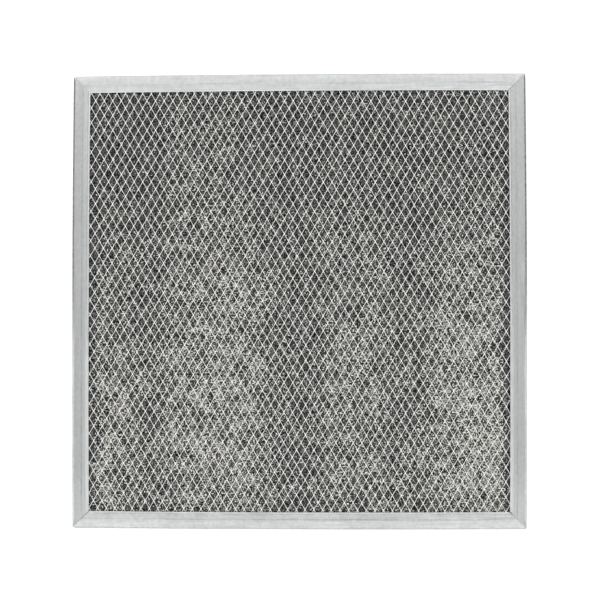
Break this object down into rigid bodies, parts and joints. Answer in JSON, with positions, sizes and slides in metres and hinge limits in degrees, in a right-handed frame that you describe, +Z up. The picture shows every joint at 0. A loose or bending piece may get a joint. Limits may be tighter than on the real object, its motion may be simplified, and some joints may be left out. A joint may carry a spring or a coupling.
{
  "type": "cooker hood carbon filter",
  "caption": "Flat square cooker hood carbon filter: a charcoal fibre pad between expanded aluminium meshes, held in a folded aluminium channel frame with mitred corners.",
  "frame": {"origin": "centre of the rear face, which lies on the ground", "axes": "+Z up out of the front face, through the filter's thickness; X across and Y along the mesh's long way"},
  "size_m": [0.289, 0.289, 0.0095],
  "materials": {
    "frame_sheet": "mill finish, faintly streaked along the strip",
    "mesh_sheet": "bright cut aluminium",
    "carbon_fibre": "matt charcoal fibre with pale flecks"
  },
  "bodies": {
    "root": {"frame": "frame_sheet", "front_mesh": "mesh_sheet", "carbon_pad": "carbon_fibre", "rear_mesh": "mesh_sheet"}
  },
  "joints": []
}
